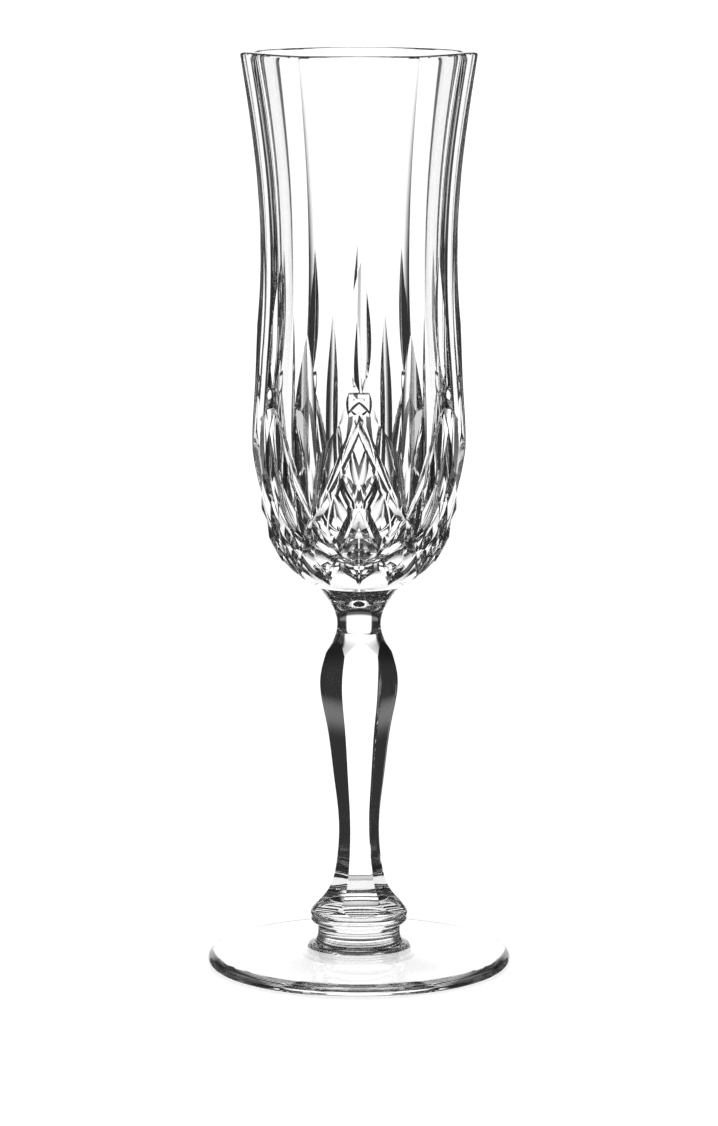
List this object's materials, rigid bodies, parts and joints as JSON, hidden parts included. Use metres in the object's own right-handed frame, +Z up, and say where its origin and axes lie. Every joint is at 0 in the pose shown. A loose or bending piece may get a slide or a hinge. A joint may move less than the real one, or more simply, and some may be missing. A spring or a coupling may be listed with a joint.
{
  "type": "champagne flute",
  "caption": "Stemmed crystal champagne flute: tall cut bowl, flat-sided outside and round inside, on a faceted baluster stem and a round foot.",
  "frame": {"origin": "centre of the plane the foot rests on, at the bottom of the flute", "axes": "+Z up along the flute's axis, towards the rim; +Y and -Y face the middle of a panel of the bowl, and +X and -X face a corner between two panels"},
  "size_m": [0.07, 0.07, 0.21],
  "materials": {
    "clear_crystal": "clear, colourless, fire-polished"
  },
  "bodies": {
    "root": {"bowl": "clear_crystal", "stem": "clear_crystal", "foot": "clear_crystal"}
  },
  "joints": []
}
